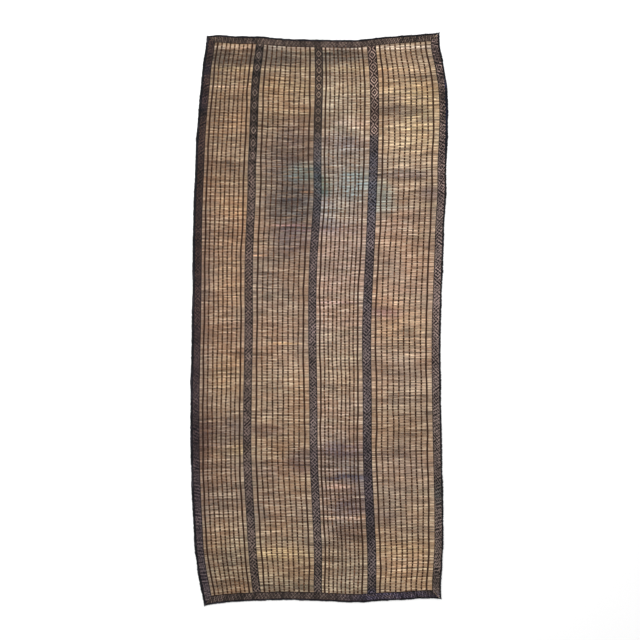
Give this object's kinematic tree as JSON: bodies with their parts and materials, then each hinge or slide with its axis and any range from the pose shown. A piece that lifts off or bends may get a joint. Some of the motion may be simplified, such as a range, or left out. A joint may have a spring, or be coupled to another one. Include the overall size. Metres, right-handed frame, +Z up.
{
  "type": "tuareg mat",
  "caption": "Flat floor mat of reeds across, bound by lengthwise leather thongs, with patterned leather bands and a mitred leather border.",
  "frame": {"origin": "on the surface the mat lies on, under the middle of the mat", "axes": "+Y along the mat from foot to head, +X across it along the reeds, +Z up"},
  "size_m": [1.5068, 3.3539, 0.0066],
  "materials": {
    "reeds": "dry golden-tan reed stems bound by dark leather thongs, satin, stained grey and brown by use",
    "thong_leather": "narrow dark brown goat leather thongs, worn matt",
    "band_leather": "dark purplish-brown leather worked with thin tan lozenges, worn matt",
    "border_leather": "dark purplish-brown leather worked with thin lighter zigzags, worn matt",
    "edging_leather": "smooth blue-black rolled leather, soft sheen"
  },
  "bodies": {
    "root": {"reed_ground": "reeds", "band_left": "band_leather", "band_middle": "band_leather", "band_right": "band_leather", "border_left": "border_leather", "border_right": "border_leather", "border_head": "border_leather", "border_foot": "border_leather", "edging_left": "edging_leather", "edging_right": "edging_leather", "edging_head": "edging_leather", "edging_foot": "edging_leather"}
  },
  "joints": []
}
